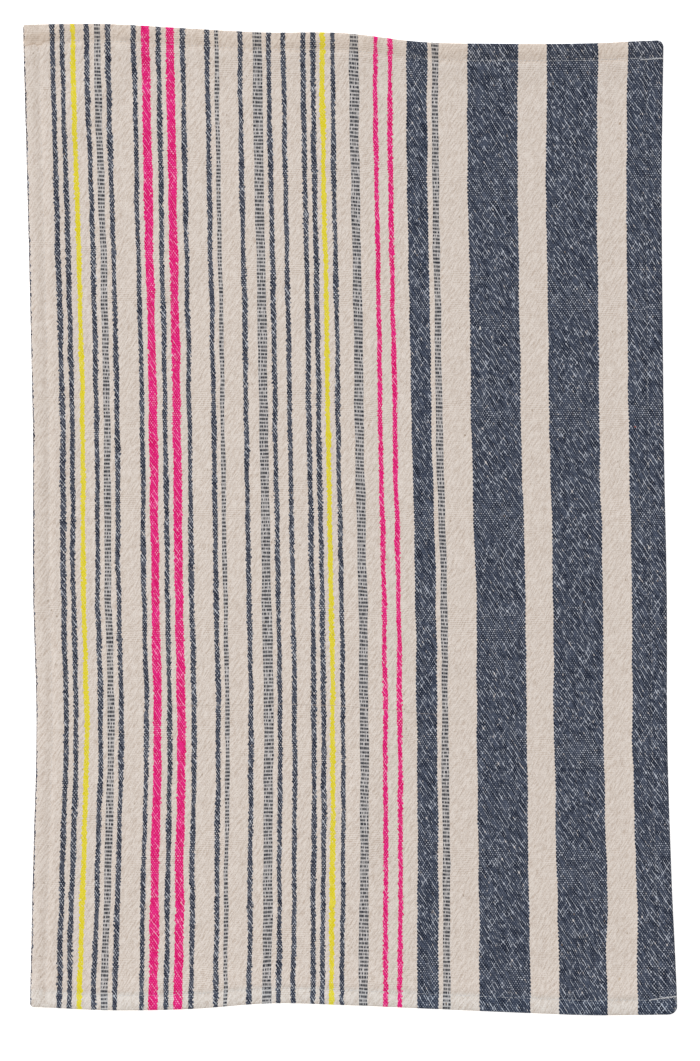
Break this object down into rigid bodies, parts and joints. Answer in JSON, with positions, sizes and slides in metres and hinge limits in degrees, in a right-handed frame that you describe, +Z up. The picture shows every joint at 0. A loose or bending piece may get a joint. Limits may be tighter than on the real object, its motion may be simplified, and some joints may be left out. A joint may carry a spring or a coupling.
{
  "type": "tea towel",
  "caption": "Rectangular woven cotton tea towel with lengthwise stripes and narrow turned hems on all four edges, lying flat face up.",
  "frame": {"origin": "middle of the towel's base, on the surface that it lies on", "axes": "+Z up out of the face, +Y along the length towards the upper end of the picture, +X across the width to the side with the wide dark bands"},
  "size_m": [0.468, 0.7092, 0.0034],
  "materials": {
    "cloth": "soft matt woven cotton, undyed ground with dyed warp stripes"
  },
  "bodies": {
    "root": {"towel": "cloth"}
  },
  "joints": []
}
